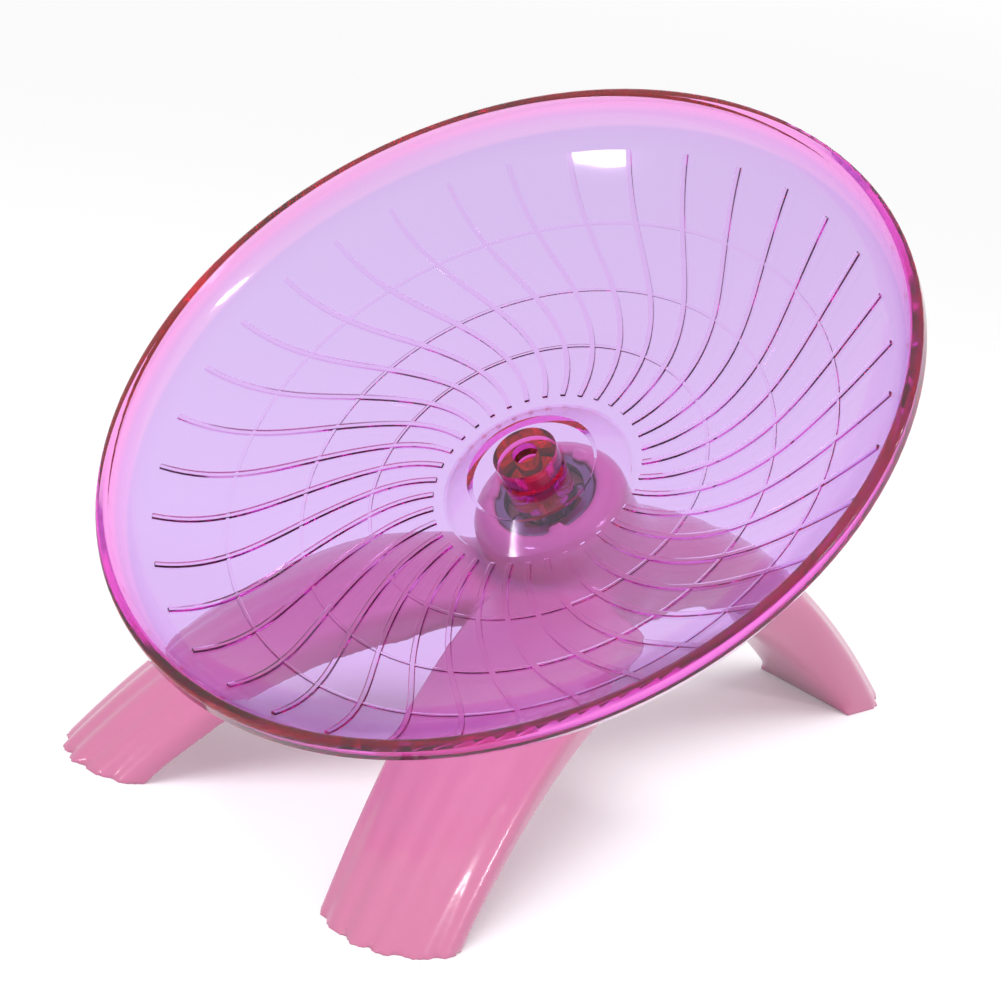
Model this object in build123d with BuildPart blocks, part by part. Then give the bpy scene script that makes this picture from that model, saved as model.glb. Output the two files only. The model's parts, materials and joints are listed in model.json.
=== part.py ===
from build123d import *
from math import asin, cos, hypot, pi, radians, sin, sqrt
import os

# Flying saucer wheel for a hamster: a clear ribbed dish that spins on a leaning ball bearing,
# which a three-legged moulded stand carries. The stand rests on Z = 0, the dish leans towards -Y,
# and the origin is on the ground below the middle of the whole. All sizes are in millimetres.

# The leaning axle
lean = 38.0
hub_height = 70.0
hub_setback = -18.6

# The dish: heights are measured up the axle from the flat of its floor
rim_radius = 90.0
rim_height = 26.2
rim_width = 2.7
rim_band = 3.6
rim_round = 0.9
wall = 2.0
floor_radius = 38.0
bowl_radius = 67.5
bowl_turn = 39.8
dome_radius = 14.4
dome_height = 4.0
dome_crown = 0.4
dome_foot = 21.0

# The hub tube, moulded with the dish
tube_radius = 7.0
tube_top = 8.7
tube_bottom = -4.2
tube_bore = 2.75

# Grip ribs and rings on the dish's floor
rib_count = 36
rib_inner = 23.2
rib_outer = 81.3
rib_width = 1.1
rib_height = 0.6
rib_root = 0.5
rib_sweep = 25.7
rib_start = -0.8
rib_knots = 5
ring_radii = [37.5, 52.5, 67.5]
ring_width = 0.7
ring_height = 0.35

# The ball bearing, 8 by 22 by 7 mm
bearing_top = -5.2
bearing_width = 7.0
bearing_bore = 4.0
bearing_radius = 11.0
inner_shoulder = 6.2
outer_shoulder = 8.95
race_chamfer = 0.3
ball_count = 7
ball_radius = 1.98
pitch_radius = 7.5
groove_radius = 2.06
cage_play = 0.3
cage_back = 0.7
cage_crown = 1.3
pocket_radius = 2.12

# The axle pin, and the screw and washer that hold it in the bearing
pin_radius = 2.7
pin_top = 4.6
journal_radius = 3.97
flange_radius = 5.9
pin_chamfer = 0.5
washer_radius = 5.6
washer_hole = 2.15
washer_thick = 0.8
thread_radius = 1.97
tapped_radius = 2.0
tapped_depth = 6.0
thread_length = 5.6
head_radius = 3.6
head_height = 2.4
recess_width = 1.0
recess_length = 4.4
recess_depth = 1.3

# The cup on top of the stand
cup_radius = 17.0
cup_top = -4.7
cup_round = 5.5
cup_waist = 9.0
cup_depth = 32.0
cup_flare = 3.0
seat_play = 0.02
seat_lip = 2.4
well_depth = 5.4
mouth_chamfer = 0.8
clip_angles = [328.0, 88.0, 208.0]
clip_width = 3.2
clip_reach = 1.0
clip_height = 1.0

# The legs: each is a row of sections from its root under the cup out to its toe and past it
front_root = (13.0, 8.0)
front_toe = (47.5, -77.0)
front_rise = 48.0
front_bend = 2.35
front_widths = (38.0, 30.0)
front_depths = (12.0, 4.8)
back_root = (0.0, 8.0)
back_toe = (0.0, 122.5)
back_rise = 60.0
back_bend = 2.25
back_widths = (32.0, 28.0)
back_depths = (24.0, 8.5)
leg_sections = 7
leg_overrun = 1.16
crowns = (2.0, 4.0)
corner_radius = 3.0
flute_count = 4
flute_depth = 1.2
flute_fade = 3.0

tilt = radians(lean)
hub_point = (0, hub_setback, hub_height)
# Plan of the dish, and the plane of profiles that turn about the axle, where x is the radius
dish_plane = Plane(hub_point, x_dir=(1, 0, 0), z_dir=(0, -sin(tilt), cos(tilt)))
profile_plane = Plane(hub_point, x_dir=(1, 0, 0), z_dir=(0, -cos(tilt), -sin(tilt)))
axle = Axis(hub_point, (0, -sin(tilt), cos(tilt)))

bowl_rise = radians(bowl_turn)
bearing_middle = bearing_top - bearing_width / 2
bearing_bottom = bearing_top - bearing_width
os.makedirs("parts", exist_ok=True)


def finish(builder, name):
    """Labels a finished piece and writes it to its own file."""
    builder.part.label = name
    export_step(builder.part, f"parts/{name}.step")


def bowl_end(offset):
    """The foot of the bowl's wall, offset outwards from its inner surface."""
    reach = bowl_radius + offset
    return (floor_radius + reach * sin(bowl_rise), bowl_radius - reach * cos(bowl_rise))


def bowl_height(radius):
    """Height of the bowl's inner surface."""
    beyond = max(radius - floor_radius, 0)
    return bowl_radius - sqrt(bowl_radius**2 - beyond**2)


def rib_point(radius):
    """A point of a rib in plan: it starts and ends nearly straight and sweeps in between."""
    travel = (radius - rib_inner) / (rib_outer - rib_inner)
    turn = radians(rib_start + rib_sweep * (1 - cos(pi * travel**0.9)) / 2)
    return (radius * cos(turn), radius * sin(turn))


# One grip rib about the Z axis: an S-shaped strip, trimmed to a thin band over the bowl
with BuildPart() as rib:
    with BuildSketch():
        with BuildLine():
            rib_step = (rib_outer - rib_inner) / (rib_knots - 1)
            Spline(*[rib_point(rib_inner + rib_step * knot) for knot in range(rib_knots)])
        trace(line_width=rib_width)
    extrude(amount=rim_height, both=True)
    with BuildSketch(Plane.XZ):
        with BuildLine():
            low = TangentArc((floor_radius, -rib_root), bowl_end(rib_root), tangent=(1, 0))
            high = TangentArc((floor_radius, rib_height), bowl_end(-rib_height), tangent=(1, 0))
            Line(low @ 1, high @ 1)
            Polyline(low @ 0, (rib_inner, -rib_root), (rib_inner, rib_height), high @ 0)
        make_face()
    revolve(axis=Axis.Z, mode=Mode.INTERSECT)

# The dish: bowl, raised dome and hub tube in one clear moulding
with BuildPart(dish_plane) as saucer:
    with BuildSketch(profile_plane) as dish_profile:
        with BuildLine():
            rise = (cos(bowl_rise), sin(bowl_rise))
            TangentArc((floor_radius, 0), bowl_end(0), tangent=(1, 0))
            TangentArc((floor_radius, -wall), bowl_end(wall), tangent=(1, 0))
            inside = TangentArc(bowl_end(0), (rim_radius - rim_width, rim_height), tangent=rise)
            outside = TangentArc(bowl_end(wall), (rim_radius, rim_height - rim_band), tangent=rise)
            Polyline(inside @ 1, (rim_radius, rim_height), outside @ 1)
            Polyline(
                (floor_radius, 0),
                (dome_foot, 0),
                (dome_radius, dome_height),
                (tube_radius, dome_height + dome_crown),
                (tube_radius, tube_top),
                (tube_bore, tube_top),
                (tube_bore, tube_bottom),
                (tube_radius, tube_bottom),
                (tube_radius, dome_height + dome_crown - wall),
                (dome_radius - wall / 2, dome_height - wall),
                (dome_foot - wall / 2, -wall),
                (floor_radius, -wall),
            )
        make_face()
        fillet(dish_profile.vertices().group_by(Axis.Y)[-1], radius=rim_round)
    revolve(axis=axle)
    with BuildSketch(profile_plane):
        for radius in ring_radii:
            slope = asin(max(radius - floor_radius, 0) / bowl_radius) * 180 / pi
            with Locations(Location((radius, bowl_height(radius)), slope)):
                Rectangle(ring_width, ring_height * 2)
    revolve(axis=axle)
    with PolarLocations(0, rib_count):
        add(rib.part)
finish(saucer, "saucer")


def around(radius, height, index, count):
    """A place on a circle about the axle, in the dish's frame."""
    turn = 2 * pi * index / count
    return Location((radius * cos(turn), radius * sin(turn), height))


# The bearing's two races, each a ring with a groove that the balls run in
for name, low, high, chamfered in (
    ("inner_race", bearing_bore, inner_shoulder, bearing_bore),
    ("outer_race", outer_shoulder, bearing_radius, bearing_radius),
):
    with BuildPart() as race:
        with BuildSketch(profile_plane) as race_profile:
            with Locations(((low + high) / 2, bearing_middle)):
                Rectangle(high - low, bearing_width)
            edge = [v for v in race_profile.vertices() if abs(abs(v.X) - chamfered) < race_chamfer]
            chamfer(edge, length=race_chamfer)
            with Locations((pitch_radius, bearing_middle)):
                Circle(groove_radius, mode=Mode.SUBTRACT)
        revolve(axis=axle)
    finish(race, name)

# The ball cage: a crown with one open pocket for each ball
with BuildPart(dish_plane) as cage:
    with BuildSketch(profile_plane):
        cage_inner = inner_shoulder + cage_play
        cage_outer = outer_shoulder - cage_play
        cage_low = bearing_middle - pocket_radius - cage_back
        Polygon(
            (cage_inner, cage_low),
            (cage_outer, cage_low),
            (cage_outer, bearing_middle + cage_crown),
            (cage_inner, bearing_middle + cage_crown),
            align=None,
        )
    revolve(axis=axle)
    with Locations(*[around(pitch_radius, bearing_middle, n, ball_count) for n in range(ball_count)]):
        Sphere(pocket_radius, mode=Mode.SUBTRACT)
finish(cage, "ball_cage")

for index in range(ball_count):
    with BuildPart(dish_plane) as ball:
        with Locations(around(pitch_radius, bearing_middle, index, ball_count)):
            Sphere(ball_radius)
    finish(ball, f"ball_{index + 1}")

# The axle pin: a shank that the dish's tube slips over, a flange and a journal in the inner race
with BuildPart() as axle_pin:
    with BuildSketch(profile_plane):
        Polygon(
            (0, pin_top),
            (pin_radius - pin_chamfer, pin_top),
            (pin_radius, pin_top - pin_chamfer),
            (pin_radius, tube_bottom),
            (flange_radius, tube_bottom),
            (flange_radius, bearing_top),
            (journal_radius, bearing_top),
            (journal_radius, bearing_bottom),
            (tapped_radius, bearing_bottom),
            (tapped_radius, bearing_bottom + tapped_depth),
            (0, bearing_bottom + tapped_depth + tapped_radius / 2),
            align=None,
        )
    revolve(axis=axle)
finish(axle_pin, "axle_pin")

with BuildPart() as washer:
    with BuildSketch(profile_plane):
        with Locations(((washer_hole + washer_radius) / 2, bearing_bottom - washer_thick / 2)):
            Rectangle(washer_radius - washer_hole, washer_thick)
    revolve(axis=axle)
finish(washer, "axle_washer")

# The screw under the washer: a pan head with a crossed recess
head_top = bearing_bottom - washer_thick
with BuildPart() as screw:
    with BuildSketch(profile_plane) as screw_profile:
        Polygon(
            (0, head_top - head_height),
            (0, head_top + thread_length),
            (thread_radius - pin_chamfer, head_top + thread_length),
            (thread_radius, head_top + thread_length - pin_chamfer),
            (thread_radius, head_top),
            (head_radius, head_top),
            (head_radius, head_top - head_height),
            align=None,
        )
        low_corner = screw_profile.vertices().group_by(Axis.Y)[0].sort_by(Axis.X)[-1]
        fillet(low_corner, radius=head_height * 0.6)
    revolve(axis=axle)
    with BuildSketch(dish_plane.offset(head_top - head_height)):
        Rectangle(recess_length, recess_width)
        Rectangle(recess_width, recess_length)
    extrude(amount=recess_depth, mode=Mode.SUBTRACT)
finish(screw, "axle_screw")


def mix(ends, travel):
    return ends[0] + (ends[1] - ends[0]) * travel


def leg_outline(width, depth, crown, flute):
    """A leg's section: fluted crown, rounded shoulders, straight sides and a flat underside."""
    half = width / 2
    inset = half - corner_radius
    lobe = 2 * inset / flute_count

    def crest(x):
        return -crown * (x / inset) ** 2

    for index in range(flute_count):
        start = -inset + lobe * index
        middle = start + lobe / 2
        ThreePointArc(
            (start, crest(start)), (middle, crest(middle) + flute), (start + lobe, crest(start + lobe))
        )
    for side in (-1, 1):
        shoulder = corner_radius * (1 - cos(pi / 4))
        ThreePointArc(
            (side * inset, -crown),
            (side * (half - shoulder), -crown - shoulder),
            (side * half, -crown - corner_radius),
        )
        Line((side * half, -crown - corner_radius), (side * half, -crown - depth))
    Line((-half, -crown - depth), (half, -crown - depth))


def leg(root, toe, rise_, bend, widths, depths):
    """A leg from under the cup to the ground: its crest falls as a power of the way travelled."""
    run = hypot(toe[0] - root[0], toe[1] - root[1])
    heading = ((toe[0] - root[0]) / run, (toe[1] - root[1]) / run, 0)
    with BuildPart() as limb:
        for index in range(leg_sections):
            travel = leg_overrun * index / (leg_sections - 1)
            fall = -rise_ * bend * travel ** (bend - 1) / run
            centre = (mix((root[0], toe[0]), travel), hub_setback + mix((root[1], toe[1]), travel))
            section = Plane(
                (*centre, rise_ * (1 - travel**bend)),
                x_dir=(heading[1], -heading[0], 0),
                z_dir=(-heading[0], -heading[1], -fall),
            )
            with BuildSketch(section):
                with BuildLine():
                    leg_outline(
                        mix(widths, travel),
                        mix(depths, travel),
                        mix(crowns, travel),
                        flute_depth * (0.05 + travel**flute_fade),
                    )
                make_face()
        loft()
        split(bisect_by=Plane.XY, keep=Keep.TOP)
    return limb.part


right_leg = leg(front_root, front_toe, front_rise, front_bend, front_widths, front_depths)
# The right front leg ends at the stand's middle plane, where its mirror image meets it
front_leg = split(right_leg, bisect_by=Plane.YZ, keep=Keep.TOP)
back_leg = leg(back_root, back_toe, back_rise, back_bend, back_widths, back_depths)

# The stand: the round cup and three legs in one moulding, with clips over the bearing's edge
with BuildPart() as stand:
    with BuildSketch(profile_plane) as cup_profile:
        Polygon(
            (0, cup_top),
            (cup_radius, cup_top),
            (cup_radius, cup_top - cup_waist),
            (cup_radius + cup_flare, cup_top - cup_depth),
            (0, cup_top - cup_depth),
            align=None,
        )
        fillet(cup_profile.vertices().group_by(Axis.Y)[-1].sort_by(Axis.X)[-1], radius=cup_round)
    revolve(axis=axle)
    add(front_leg)
    add(back_leg)
    mirror(front_leg, about=Plane.YZ)
    seat_radius = bearing_radius + seat_play
    with BuildSketch(profile_plane):
        Polygon(
            (0, cup_top),
            (seat_radius + mouth_chamfer, cup_top),
            (seat_radius, cup_top - mouth_chamfer),
            (seat_radius, bearing_bottom),
            (seat_radius - seat_lip, bearing_bottom),
            (seat_radius - seat_lip, bearing_bottom - well_depth),
            (0, bearing_bottom - well_depth),
            align=None,
        )
    revolve(axis=axle, mode=Mode.SUBTRACT)
    with BuildSketch(dish_plane.offset(bearing_top)):
        Circle(seat_radius + mouth_chamfer * 2)
        Circle(seat_radius - clip_reach, mode=Mode.SUBTRACT)
        with Locations(*[Location((0, 0), angle) for angle in clip_angles]):
            with Locations((cup_radius / 2, 0)):
                Rectangle(cup_radius, clip_width, mode=Mode.INTERSECT)
    extrude(amount=clip_height)
finish(stand, "stand")
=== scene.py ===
import json
import math

import bpy
import numpy as np
from bpy.props import FloatProperty, FloatVectorProperty, PointerProperty
from bpy.types import Operator, Panel, PropertyGroup
from mathutils import Matrix, Vector

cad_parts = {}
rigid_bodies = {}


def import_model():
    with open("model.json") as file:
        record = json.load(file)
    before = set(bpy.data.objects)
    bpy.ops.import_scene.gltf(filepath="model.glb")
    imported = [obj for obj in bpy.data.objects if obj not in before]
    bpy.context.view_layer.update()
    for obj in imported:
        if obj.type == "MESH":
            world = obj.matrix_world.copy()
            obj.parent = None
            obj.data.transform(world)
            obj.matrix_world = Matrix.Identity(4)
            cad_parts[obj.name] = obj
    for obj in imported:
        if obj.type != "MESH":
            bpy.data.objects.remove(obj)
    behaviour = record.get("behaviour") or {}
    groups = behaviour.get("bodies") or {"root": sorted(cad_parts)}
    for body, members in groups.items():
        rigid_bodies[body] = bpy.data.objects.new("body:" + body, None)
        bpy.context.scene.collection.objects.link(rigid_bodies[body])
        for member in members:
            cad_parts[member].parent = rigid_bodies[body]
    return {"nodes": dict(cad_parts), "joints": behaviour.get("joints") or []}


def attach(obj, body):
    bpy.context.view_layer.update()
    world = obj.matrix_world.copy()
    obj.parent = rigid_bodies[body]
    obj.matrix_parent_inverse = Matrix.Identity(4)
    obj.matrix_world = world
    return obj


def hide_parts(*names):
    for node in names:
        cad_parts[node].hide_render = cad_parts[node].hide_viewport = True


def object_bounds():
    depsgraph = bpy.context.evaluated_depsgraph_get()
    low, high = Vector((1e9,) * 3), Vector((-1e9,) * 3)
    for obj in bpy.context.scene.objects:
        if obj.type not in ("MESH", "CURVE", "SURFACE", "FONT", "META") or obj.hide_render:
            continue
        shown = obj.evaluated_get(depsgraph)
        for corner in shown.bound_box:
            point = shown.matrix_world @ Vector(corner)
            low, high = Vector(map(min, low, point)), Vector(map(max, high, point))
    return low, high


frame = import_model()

bl_info = {
    "name": "Flying saucer wheel",
    "version": (1, 0, 0),
    "blender": (4, 5, 0),
    "location": "3D View > Sidebar > Saucer wheel",
    "description": "Finishes the clear dish, the moulded stand and the bearing, and lights them",
    "category": "Object",
}

CAD_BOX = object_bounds()

# The joint that turns the dish, with a point on the axle and the axle's direction
SPIN = frame["joints"][0]
AXLE_POINT, AXLE_WAY = SPIN["pos_m"], SPIN["axis"]

# The CAD nodes that take each finish
DISH_NODES = ("saucer",)
STAND_NODES = ("stand",)
BRASS_NODES = ("axle_pin",)
SCREW_NODES = ("axle_screw", "axle_washer")
RACE_NODES = ("inner_race", "outer_race")
BALL_NODES = tuple(f"ball_{number}" for number in range(1, 8))
CAGE_NODES = ("ball_cage",)

# All lengths from here on are in metres.
# Outer radius of the hub tube that is moulded with the dish, and radius at which the rim's band starts,
# where the lighter rim tint, a painted highlight, begins
HUB_TUBE = 0.0072
RIM_START = 0.0862
# Width over which one tint of the dish turns to the next
TINT_EDGE = 0.0006

# The stand's even mesh: reach that merges the CAD triangles' corners, and size of its faces
WELD_REACH = 0.00001
STAND_FACE = 0.0007
# Rounds of relaxing, and the share of a full move that a point on the legs makes in each
RELAX_ROUNDS = 160
LEG_SOFTNESS = 0.02
# Radii from the axle between which the joints of cup and legs turn soft, and firm again
JOINT_INNER, JOINT_OUTER = (0.0150, 0.0175), (0.034, 0.046)
# Heights up the axle, measured from the dish's floor, between which the soft joints end
JOINT_TOP = (-0.022, -0.014)
# Radii and depths down the axle between which the bearing's seat, which stays as it is, ends
SEAT_WALL, SEAT_FLOOR = (0.0125, 0.0145), (0.030, 0.036)
# Heights above the ground between which the feet's flat faces, which stay as they are, end
FOOT_EDGE = (0.0002, 0.0020)

# Roughness of each metal
METAL_ROUGHNESS = {
    "brass": 0.32, "steel": 0.28, "bearing_steel": 0.22, "ball_steel": 0.08, "cage_steel": 0.35,
}

# How far the floor lies below the feet
FLOOR_DROP = 0.0001
# Distances from the origin between which the lit floor turns to plain white,
# and the floor's grey and its own light before and after
FLOOR_FADE = (0.2, 0.9)
FLOOR_GREY = (0.8, 0.0)
FLOOR_GLOW = (0.22, 1.0)

# Each lamp's place, its width and height, and its power as a multiple of the key light's
LAMPS = {
    "front_lamp": ((-0.12, -0.96, 0.385), (0.16, 0.08), 0.18),
    "side_lamp": ((0.80, 0.11, 0.52), (0.22, 0.08), 0.35),
    "top_lamp": ((0.25, -0.35, 1.5), (1.0, 1.0), 4.0),
}
# The lamps that the plastic mirrors as highlights
MIRRORED_LAMPS = ("front_lamp", "side_lamp")

# The point that the camera looks at, its lens and sensor in millimetres, and its near and far ends
CAMERA_AIM = (-0.00367, -0.02477, 0.06466)
CAMERA_LENS, CAMERA_SENSOR = 151.86, 36.0
CAMERA_REACH = (0.01, 50.0)
# Light that winds round inside the clear rim needs many turns before it comes out again
LIGHT_TURNS = 32

# Places of the two colours and of the result among a Mix node's sockets
MIX_A, MIX_B, MIX_RESULT = 6, 7, 2


def colour_property(name, description, default):
    """A colour that the panel shows, as linear red, green and blue."""
    return FloatVectorProperty(
        name=name, description=description, default=default, size=3, min=0.0, max=1.0,
        subtype="COLOR",
    )


def share_property(name, description, default):
    """A share from 0 to 1."""
    return FloatProperty(
        name=name, description=description, default=default, min=0.0, max=1.0, subtype="FACTOR"
    )


def angle_property(name, description, degrees):
    """An angle, given here in degrees."""
    return FloatProperty(
        name=name, description=description, default=math.radians(degrees), subtype="ANGLE",
        unit="ROTATION",
    )


def length_property(name, description, default, least):
    """A length in metres."""
    return FloatProperty(
        name=name, description=description, default=default, min=least, subtype="DISTANCE",
        unit="LENGTH",
    )


class DishSettings(PropertyGroup):
    """Finish of the clear dish."""

    tint: colour_property(
        "Tint", "Colour that each surface of the clear plastic lets through", (0.70, 0.76, 0.96)
    )
    # The rim's lighter tint is painted light: a painted highlight that stands in for the pale band of
    # light along the rim
    rim_highlight_tint: colour_property(
        "Rim tint", "Colour that the surfaces of the rim let through", (1.0, 0.92, 1.0)
    )
    hub_tint: colour_property(
        "Hub tint", "Colour that the surfaces of the hub tube let through", (0.74, 0.26, 0.62)
    )
    depth_tint: colour_property(
        "Depth tint", "Colour that thick plastic turns to", (0.965, 0.0, 0.80)
    )
    depth: FloatProperty(
        name="Depth", description="How fast plastic turns to its depth tint, per metre",
        default=190.0, min=0.0, max=1000.0,
    )
    roughness: share_property("Roughness", "Roughness of the clear plastic", 0.03)


class StandSettings(PropertyGroup):
    """Finish of the moulded stand."""

    colour: colour_property("Colour", "Colour of the pastel plastic", (0.64, 0.195, 0.35))
    roughness: share_property("Roughness", "Roughness of the moulded plastic", 0.24)


class MetalSettings(PropertyGroup):
    """Colours of the axle and the bearing."""

    brass: colour_property("Brass", "Colour of the axle pin", (0.82, 0.36, 0.10))
    steel: colour_property("Steel", "Colour of the screw and washer", (0.55, 0.54, 0.54))
    race: colour_property(
        "Bearing steel", "Colour of the bearing's rings and balls", (0.33, 0.30, 0.29)
    )
    cage: colour_property("Cage", "Colour of the ball cage", (0.30, 0.17, 0.10))


class StageSettings(PropertyGroup):
    """Floor, light and camera."""

    floor_size: length_property("Floor size", "Side of the floor", 8.0, 1.0)
    sky: FloatProperty(
        name="Soft light", description="Strength of the even light all round", default=0.45, min=0.0
    )
    key: FloatProperty(
        name="Key light", description="Power in watts that the lamps take their shares of",
        default=4.0, min=0.0,
    )
    distance: length_property(
        "Camera distance", "From the camera to the point it looks at", 0.89203, 0.1
    )
    azimuth: angle_property("Azimuth", "Turn of the camera round the object from the front", 42.62)
    elevation: angle_property("Elevation", "Height of the camera above the horizon", 21.08)
    roll: angle_property("Roll", "Turn of the camera about its own view", 9.92)


def new_material(name):
    """A node material with its Principled shader ready to set."""
    material = bpy.data.materials.new(name)
    material.use_nodes = True
    return material, material.node_tree, material.node_tree.nodes["Principled BSDF"]


def set_sockets(shader, **values):
    """Sets the shader's own sockets; a colour gets its alpha."""
    for name, value in values.items():
        socket = shader.inputs[name.replace("_", " ")]
        socket.default_value = (*value, 1.0) if socket.type == "RGBA" else value


def joined(tree, operation, first, second):
    """Output of a Math node that takes these two outputs."""
    node = tree.nodes.new("ShaderNodeMath")
    node.operation = operation
    tree.links.new(first, node.inputs[0])
    tree.links.new(second, node.inputs[1])
    return node.outputs["Value"]


def add_grain(tree, shader, scale, strength, reach):
    """Fine unevenness of a moulded or turned surface: noise on Object coordinates into a bump."""
    place = tree.nodes.new("ShaderNodeTexCoord")
    noise = tree.nodes.new("ShaderNodeTexNoise")
    noise.inputs["Scale"].default_value = scale
    noise.inputs["Detail"].default_value = 3.0
    bump = tree.nodes.new("ShaderNodeBump")
    bump.inputs["Strength"].default_value = strength
    bump.inputs["Distance"].default_value = reach
    tree.links.new(place.outputs["Object"], noise.inputs["Vector"])
    tree.links.new(noise.outputs["Fac"], bump.inputs["Height"])
    tree.links.new(bump.outputs["Normal"], shader.inputs["Normal"])


def dress(nodes, material):
    """Gives the CAD nodes this one material; their meshes stay as they are."""
    for name in nodes:
        mesh = frame["nodes"][name].data
        mesh.materials.clear()
        mesh.materials.append(material)


def beyond_radius(tree, radius):
    """Output that turns from 0 to 1 where a point's distance from the axle passes the radius: the
    point is turned to the axle's own axes, and the length of what is left across them is taken."""
    place = tree.nodes.new("ShaderNodeTexCoord")
    axle = tree.nodes.new("ShaderNodeMapping")
    axle.vector_type = "TEXTURE"
    lean = Vector((0, 0, 1)).rotation_difference(Vector(AXLE_WAY))
    axle.inputs["Location"].default_value = AXLE_POINT
    axle.inputs["Rotation"].default_value = lean.to_euler()
    flat = tree.nodes.new("ShaderNodeVectorMath")
    flat.operation = "MULTIPLY"
    flat.inputs[1].default_value = (1.0, 1.0, 0.0)
    length = tree.nodes.new("ShaderNodeVectorMath")
    length.operation = "LENGTH"
    step = tree.nodes.new("ShaderNodeMapRange")
    step.inputs["From Min"].default_value = radius
    step.inputs["From Max"].default_value = radius + TINT_EDGE
    tree.links.new(place.outputs["Object"], axle.inputs["Vector"])
    tree.links.new(axle.outputs["Vector"], flat.inputs[0])
    tree.links.new(flat.outputs["Vector"], length.inputs[0])
    tree.links.new(length.outputs["Value"], step.inputs["Value"])
    return step.outputs["Result"]


def colour_step(tree, radius, inside, outside):
    """A colour mix that turns from one colour to the other where the distance from the axle
    passes the radius."""
    mix = tree.nodes.new("ShaderNodeMix")
    mix.data_type = "RGBA"
    mix.inputs[MIX_A].default_value = (*inside, 1.0)
    mix.inputs[MIX_B].default_value = (*outside, 1.0)
    tree.links.new(beyond_radius(tree, radius), mix.inputs["Factor"])
    return mix


def clear_plastic(settings):
    """Tinted clear plastic: each surface tints a little, more at the hub tube than on the bowl and least
    at the rim, where the lighter tint is a painted highlight, and thick walls deepen with the path
    inside."""
    material, tree, shader = new_material("clear_lilac")
    set_sockets(
        shader, Base_Color=tuple(settings.tint), Roughness=settings.roughness, IOR=1.33,
        Transmission_Weight=1.0, Coat_Weight=0.6, Coat_Roughness=0.13, Coat_IOR=1.5,
    )
    # Past RIM_START the lighter rim tint takes over: a painted highlight along the rim
    outer = colour_step(tree, RIM_START, settings.tint, settings.rim_highlight_tint)
    inner = colour_step(tree, HUB_TUBE, settings.hub_tint, settings.tint)
    tree.links.new(outer.outputs[MIX_RESULT], inner.inputs[MIX_B])
    tree.links.new(inner.outputs[MIX_RESULT], shader.inputs["Base Color"])
    depth = tree.nodes.new("ShaderNodeVolumeAbsorption")
    depth.inputs["Color"].default_value = (*settings.depth_tint, 1.0)
    depth.inputs["Density"].default_value = settings.depth
    tree.links.new(depth.outputs["Volume"], tree.nodes["Material Output"].inputs["Volume"])
    return material


def moulded_plastic(settings):
    """Opaque glossy plastic with a soft glow just under its surface."""
    material, tree, shader = new_material("pink_plastic")
    set_sockets(
        shader, Base_Color=tuple(settings.colour), Roughness=settings.roughness, IOR=1.49,
        Subsurface_Weight=0.12, Subsurface_Radius=(0.004, 0.0015, 0.002), Coat_Weight=0.35,
        Coat_Roughness=0.06,
    )
    add_grain(tree, shader, scale=90.0, strength=0.05, reach=0.0004)
    return material


def turned_metal(name, colour):
    """Turned or ground metal with fine tool marks."""
    material, tree, shader = new_material(name)
    set_sockets(shader, Base_Color=tuple(colour), Metallic=1.0, Roughness=METAL_ROUGHNESS[name])
    add_grain(tree, shader, scale=900.0, strength=0.08, reach=0.0001)
    return material


def ease(value, start, end):
    """A smooth step from 0 at start to 1 at end, over a whole array: with t the travelled share,
    t squared times 3 less 2 t."""
    travel = np.clip((value - start) / (end - start), 0, 1)
    return travel * travel * (3 - 2 * travel)


def along_axle(points):
    """Each point's distance from the axle and its height up the axle above the dish's floor: the
    height is the share along the axle, and the distance is what Pythagoras leaves across it."""
    away = points - np.array(AXLE_POINT)
    height = away @ np.array(AXLE_WAY)
    return np.sqrt(np.maximum((away**2).sum(axis=1) - height**2, 0)), height


def moulding_softness(points):
    """How freely each point of the stand may move, from 0 to 1: little on the legs, fully where they
    join the cup, not at all in the bearing's seat and on the ground. Each is a product of smooth
    steps in the distance from the axle, the height up the axle and the height above the ground."""
    radius, height = along_axle(points)
    joint = ease(radius, *JOINT_INNER) * (1 - ease(radius, *JOINT_OUTER)) * (1 - ease(height, *JOINT_TOP))
    off_seat = np.clip(ease(radius, *SEAT_WALL) + ease(-height, *SEAT_FLOOR), 0, 1)
    off_ground = ease(points[:, 2], *FOOT_EDGE)
    return (LEG_SOFTNESS + (1 - LEG_SOFTNESS) * joint) * off_seat * off_ground


def even_mesh(name, solid):
    """A new object with the solid's form on an even mesh: a copy's loose triangles are merged and
    then remade as voxel faces."""
    thing = bpy.data.objects.new(name, solid.data.copy())
    bpy.context.scene.collection.objects.link(thing)
    weld = thing.modifiers.new("weld", "WELD")
    weld.merge_threshold = WELD_REACH
    even = thing.modifiers.new("even", "REMESH")
    even.mode, even.voxel_size = "VOXEL", STAND_FACE
    ready = thing.evaluated_get(bpy.context.evaluated_depsgraph_get())
    thing.data = bpy.data.meshes.new_from_object(ready)
    thing.modifiers.clear()
    return thing


def relaxed(points, edges, softness):
    """The points after the rounds of relaxing: each round moves a point by its softness towards the
    mean of its neighbours along the edges."""
    start, end = np.concatenate([edges, edges[:, ::-1]]).T
    count = np.bincount(start, minlength=len(points))[:, None]
    for _ in range(RELAX_ROUNDS):
        total = np.stack(
            [np.bincount(start, weights=axis, minlength=len(points)) for axis in points[end].T], axis=1
        )
        points = points + softness[:, None] * (total / count - points)
    return points


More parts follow.
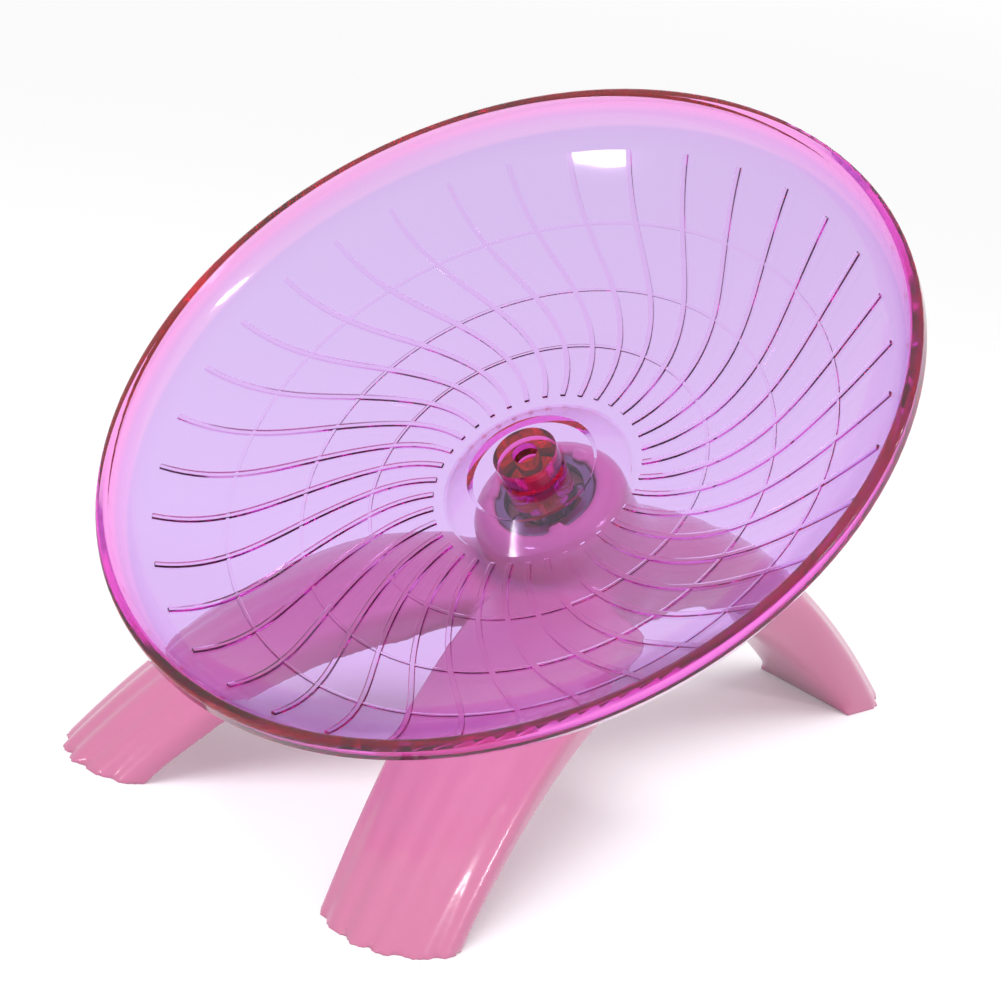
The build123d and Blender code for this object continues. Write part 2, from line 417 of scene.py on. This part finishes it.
def soft_moulding(name, solid):
    """The solid as moulded: on an even mesh, relaxed so that edges and joints turn soft."""
    thing = even_mesh(name, solid)
    mesh = thing.data
    points = np.empty(len(mesh.vertices) * 3)
    mesh.vertices.foreach_get("co", points)
    points = points.reshape(-1, 3)
    edges = np.empty(len(mesh.edges) * 2, dtype=np.int64)
    mesh.edges.foreach_get("vertices", edges)
    soft = relaxed(points, edges.reshape(-1, 2), moulding_softness(points))
    mesh.vertices.foreach_set("co", soft.ravel())
    mesh.polygons.foreach_set("use_smooth", np.ones(len(mesh.polygons), dtype=bool))
    mesh.update()
    return thing


def grid_surface(name, across, along, place):
    """A mesh over a grid of two parameters from 0 to 1; place turns the whole arrays u, v into
    points."""
    u, v = np.meshgrid(np.linspace(0, 1, across), np.linspace(0, 1, along), indexing="ij")
    points = np.stack(place(u, v), axis=-1).reshape(-1, 3)
    index = np.arange(across * along).reshape(across, along)
    corners = [index[:-1, :-1], index[1:, :-1], index[1:, 1:], index[:-1, 1:]]
    mesh = bpy.data.meshes.new(name)
    mesh.from_pydata(points.tolist(), [], np.stack(corners, axis=-1).reshape(-1, 4).tolist())
    mesh.update()
    thing = bpy.data.objects.new(name, mesh)
    bpy.context.scene.collection.objects.link(thing)
    return thing


def seen_directly(tree):
    """Output that is 1 on camera, mirror and refraction rays and 0 on the soft light's bounces."""
    path = tree.nodes.new("ShaderNodeLightPath").outputs
    mirrored = joined(tree, "MAXIMUM", path["Is Camera Ray"], path["Is Glossy Ray"])
    return joined(tree, "MAXIMUM", mirrored, path["Is Transmission Ray"])


def floor_fade(tree, ends):
    """Output that turns from the first value to the second with the distance from the origin."""
    place = tree.nodes.new("ShaderNodeTexCoord")
    length = tree.nodes.new("ShaderNodeVectorMath")
    length.operation = "LENGTH"
    fade = tree.nodes.new("ShaderNodeMapRange")
    fade.interpolation_type = "SMOOTHSTEP"
    for name, value in zip(("From Min", "From Max", "To Min", "To Max"), (*FLOOR_FADE, *ends)):
        fade.inputs[name].default_value = value
    tree.links.new(place.outputs["Object"], length.inputs[0])
    tree.links.new(length.outputs["Value"], fade.inputs["Value"])
    return fade.outputs["Result"]


def floor_material():
    """White floor that keeps the shadow near the wheel and turns to plain white further out."""
    material, tree, shader = new_material("white_floor")
    set_sockets(shader, Roughness=0.9, Specular_IOR_Level=0.0, Emission_Color=(1.0, 1.0, 1.0))
    glow = joined(tree, "MULTIPLY", floor_fade(tree, FLOOR_GLOW), seen_directly(tree))
    tree.links.new(floor_fade(tree, FLOOR_GREY), shader.inputs["Base Color"])
    tree.links.new(glow, shader.inputs["Emission Strength"])
    return material


def lay_floor(side):
    """The square floor, just under the feet."""
    floor = grid_surface(
        "floor", 3, 3,
        lambda u, v: ((u - 0.5) * side, (v - 0.5) * side, np.full_like(u, -FLOOR_DROP)),
    )
    floor.data.materials.append(floor_material())


def studio_sky(strength):
    """Even white light; the background itself is seen as plain white."""
    world = bpy.data.worlds.new("studio")
    bpy.context.scene.world = world
    world.use_nodes = True
    tree = world.node_tree
    background = tree.nodes["Background"]
    background.inputs["Color"].default_value = (1.0, 1.0, 1.0, 1.0)
    mix = tree.nodes.new("ShaderNodeMix")
    mix.inputs["A"].default_value = strength
    mix.inputs["B"].default_value = 1.0
    tree.links.new(seen_directly(tree), mix.inputs["Factor"])
    tree.links.new(mix.outputs["Result"], background.inputs["Strength"])


def solid_pieces():
    """The collection of pieces that stop the lamps' light: all but the clear dish."""
    solids = bpy.data.collections.new("solid_pieces")
    for thing in bpy.context.scene.objects:
        if thing.type == "MESH" and thing.name not in DISH_NODES:
            solids.objects.link(thing)
    return solids


def set_lamps(key):
    """Soft lamps turned to the object's middle, whose light goes through the clear dish."""
    middle = (CAD_BOX[0] + CAD_BOX[1]) / 2
    solids = solid_pieces()
    for name, (place, size, share) in LAMPS.items():
        lamp = bpy.data.lights.new(name, "AREA")
        lamp.shape = "ELLIPSE"
        lamp.size, lamp.size_y = size
        lamp.energy = key * share
        thing = bpy.data.objects.new(name, lamp)
        thing.location = place
        thing.rotation_mode = "QUATERNION"
        thing.rotation_quaternion = (Vector(place) - Vector(middle)).to_track_quat("Z", "Y")
        thing.light_linking.blocker_collection = solids
        thing.visible_glossy = thing.visible_transmission = name in MIRRORED_LAMPS
        bpy.context.scene.collection.objects.link(thing)


def set_camera(settings):
    """The camera on a ball round the point it looks at, at its azimuth and elevation, then rolled
    about its own view."""
    camera = bpy.data.objects.new("camera", bpy.data.cameras.new("camera"))
    camera.data.sensor_width = CAMERA_SENSOR
    camera.data.lens = CAMERA_LENS
    camera.data.clip_start, camera.data.clip_end = CAMERA_REACH
    turn, rise = settings.azimuth, settings.elevation
    back = Vector(
        (math.sin(turn) * math.cos(rise), -math.cos(turn) * math.cos(rise), math.sin(rise))
    )
    upright = back.to_track_quat("Z", "Y").to_matrix()
    camera.rotation_mode = "QUATERNION"
    camera.rotation_quaternion = (upright @ Matrix.Rotation(settings.roll, 3, "Z")).to_quaternion()
    camera.location = Vector(CAMERA_AIM) + back * settings.distance
    bpy.context.scene.collection.objects.link(camera)
    bpy.context.scene.camera = camera


class WHEEL_OT_dish(Operator):
    """Finish the clear dish"""

    bl_idname = "wheel.dish"
    bl_label = "Finish the dish"

    def execute(self, context):
        dress(DISH_NODES, clear_plastic(context.scene.wheel_dish))
        return {"FINISHED"}


class WHEEL_OT_stand(Operator):
    """Finish the moulded stand"""

    bl_idname = "wheel.stand"
    bl_label = "Finish the stand"

    def execute(self, context):
        plastic = moulded_plastic(context.scene.wheel_stand)
        dress(STAND_NODES, plastic)
        moulding = soft_moulding("stand_moulding", frame["nodes"]["stand"])
        moulding.data.materials.clear()
        moulding.data.materials.append(plastic)
        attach(moulding, "stand")
        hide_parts("stand")
        return {"FINISHED"}


class WHEEL_OT_axle(Operator):
    """Finish the axle pin, its washer and its screw"""

    bl_idname = "wheel.axle"
    bl_label = "Finish the axle"

    def execute(self, context):
        metals = context.scene.wheel_metals
        dress(BRASS_NODES, turned_metal("brass", metals.brass))
        dress(SCREW_NODES, turned_metal("steel", metals.steel))
        return {"FINISHED"}


class WHEEL_OT_bearing(Operator):
    """Finish the bearing's rings, balls and cage"""

    bl_idname = "wheel.bearing"
    bl_label = "Finish the bearing"

    def execute(self, context):
        metals = context.scene.wheel_metals
        dress(RACE_NODES, turned_metal("bearing_steel", metals.race))
        dress(BALL_NODES, turned_metal("ball_steel", metals.race))
        dress(CAGE_NODES, turned_metal("cage_steel", metals.cage))
        return {"FINISHED"}


class WHEEL_OT_stage(Operator):
    """Lay the floor and set the light and the camera"""

    bl_idname = "wheel.stage"
    bl_label = "Set the stage"

    def execute(self, context):
        settings = context.scene.wheel_stage
        lay_floor(settings.floor_size)
        studio_sky(settings.sky)
        set_lamps(settings.key)
        set_camera(settings)
        context.scene.view_settings.view_transform = "Standard"
        cycles = context.scene.cycles
        cycles.max_bounces = cycles.transmission_bounces = cycles.glossy_bounces = LIGHT_TURNS
        return {"FINISHED"}


class WHEEL_PT_panel(Panel):
    """Lists the steps that finish the wheel, each with its settings"""

    bl_idname = "WHEEL_PT_panel"
    bl_label = "Saucer wheel"
    bl_space_type = "VIEW_3D"
    bl_region_type = "UI"
    bl_category = "Saucer wheel"

    def draw(self, context):
        for settings, steps in PANEL_ROWS:
            group = getattr(context.scene, settings)
            box = self.layout.box()
            for name in group.__annotations__:
                box.prop(group, name)
            for step in steps:
                box.operator(step)


PANEL_ROWS = (
    ("wheel_dish", ("wheel.dish",)),
    ("wheel_stand", ("wheel.stand",)),
    ("wheel_metals", ("wheel.axle", "wheel.bearing")),
    ("wheel_stage", ("wheel.stage",)),
)
SETTINGS = {
    "wheel_dish": DishSettings,
    "wheel_stand": StandSettings,
    "wheel_metals": MetalSettings,
    "wheel_stage": StageSettings,
}
CLASSES = (
    *SETTINGS.values(), WHEEL_OT_dish, WHEEL_OT_stand, WHEEL_OT_axle, WHEEL_OT_bearing,
    WHEEL_OT_stage, WHEEL_PT_panel,
)


def register():
    for item in CLASSES:
        bpy.utils.register_class(item)
    for name, group in SETTINGS.items():
        setattr(bpy.types.Scene, name, PointerProperty(type=group))


def unregister():
    for name in SETTINGS:
        delattr(bpy.types.Scene, name)
    for item in reversed(CLASSES):
        bpy.utils.unregister_class(item)


def main():
    """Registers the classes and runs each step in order."""
    register()
    bpy.ops.wheel.dish()
    bpy.ops.wheel.stand()
    bpy.ops.wheel.axle()
    bpy.ops.wheel.bearing()
    bpy.ops.wheel.stage()


if __name__ == "__main__":
    main()
